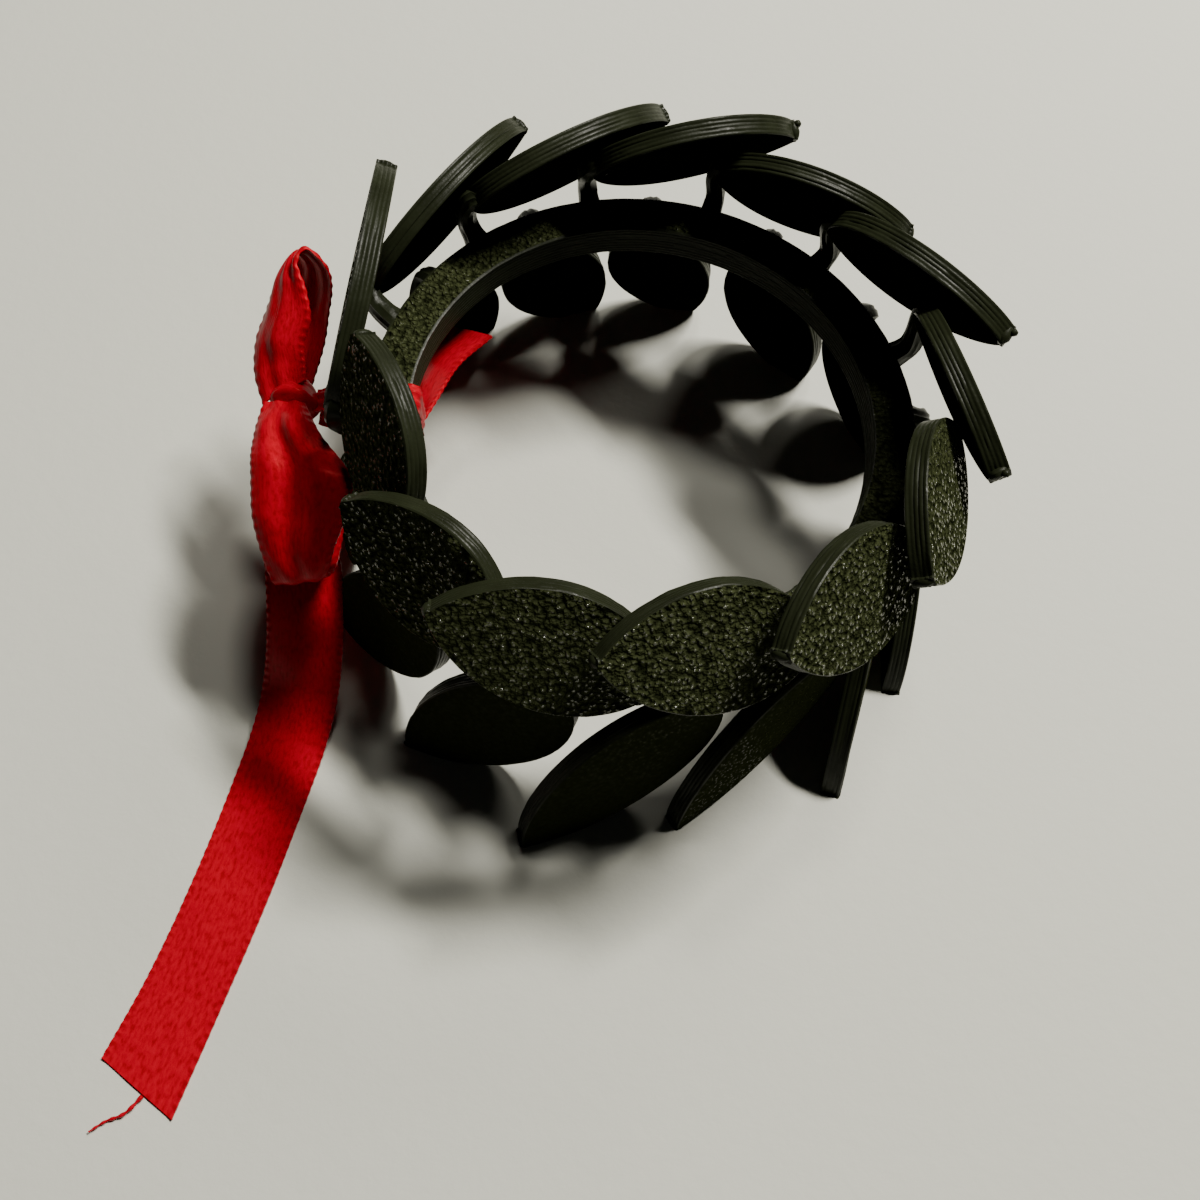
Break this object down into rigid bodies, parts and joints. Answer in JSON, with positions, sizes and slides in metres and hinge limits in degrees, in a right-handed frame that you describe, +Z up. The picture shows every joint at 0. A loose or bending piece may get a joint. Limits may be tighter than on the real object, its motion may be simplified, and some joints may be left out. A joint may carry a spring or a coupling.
{
  "type": "laurel wreath",
  "caption": "Small printed laurel wreath with a narrow red satin ribbon tied round its ring in a bow, standing on the tips of its lower leaves",
  "frame": {"origin": "On the surface it stands on, under the middle of its bounding box", "axes": "+Z up; +Y to the rear, away from the free end of the front ribbon tail; +X to the right with the bow on the left"},
  "size_m": [0.0584, 0.0818, 0.028],
  "materials": {
    "olive_plastic": "printed, satin, with a pebbled face and fine layer lines",
    "red_satin": "woven satin"
  },
  "bodies": {
    "root": {"ring": "olive_plastic", "leaf_upper_01": "olive_plastic", "leaf_upper_02": "olive_plastic", "leaf_upper_03": "olive_plastic", "leaf_upper_04": "olive_plastic", "leaf_upper_05": "olive_plastic", "leaf_upper_06": "olive_plastic", "leaf_upper_07": "olive_plastic", "leaf_upper_08": "olive_plastic", "leaf_upper_09": "olive_plastic", "leaf_upper_10": "olive_plastic", "leaf_upper_11": "olive_plastic", "leaf_upper_12": "olive_plastic", "leaf_upper_13": "olive_plastic", "leaf_lower_01": "olive_plastic", "leaf_lower_02": "olive_plastic", "leaf_lower_03": "olive_plastic", "leaf_lower_04": "olive_plastic", "leaf_lower_05": "olive_plastic", "leaf_lower_06": "olive_plastic", "leaf_lower_07": "olive_plastic", "leaf_lower_08": "olive_plastic", "leaf_lower_09": "olive_plastic", "leaf_lower_10": "olive_plastic", "leaf_lower_11": "olive_plastic", "leaf_lower_12": "olive_plastic", "leaf_lower_13": "olive_plastic", "ribbon_band": "red_satin", "ribbon_knot": "red_satin", "ribbon_loop_rear": "red_satin", "ribbon_loop_front": "red_satin", "ribbon_tail_front": "red_satin", "ribbon_tail_rear": "red_satin"}
  },
  "joints": []
}
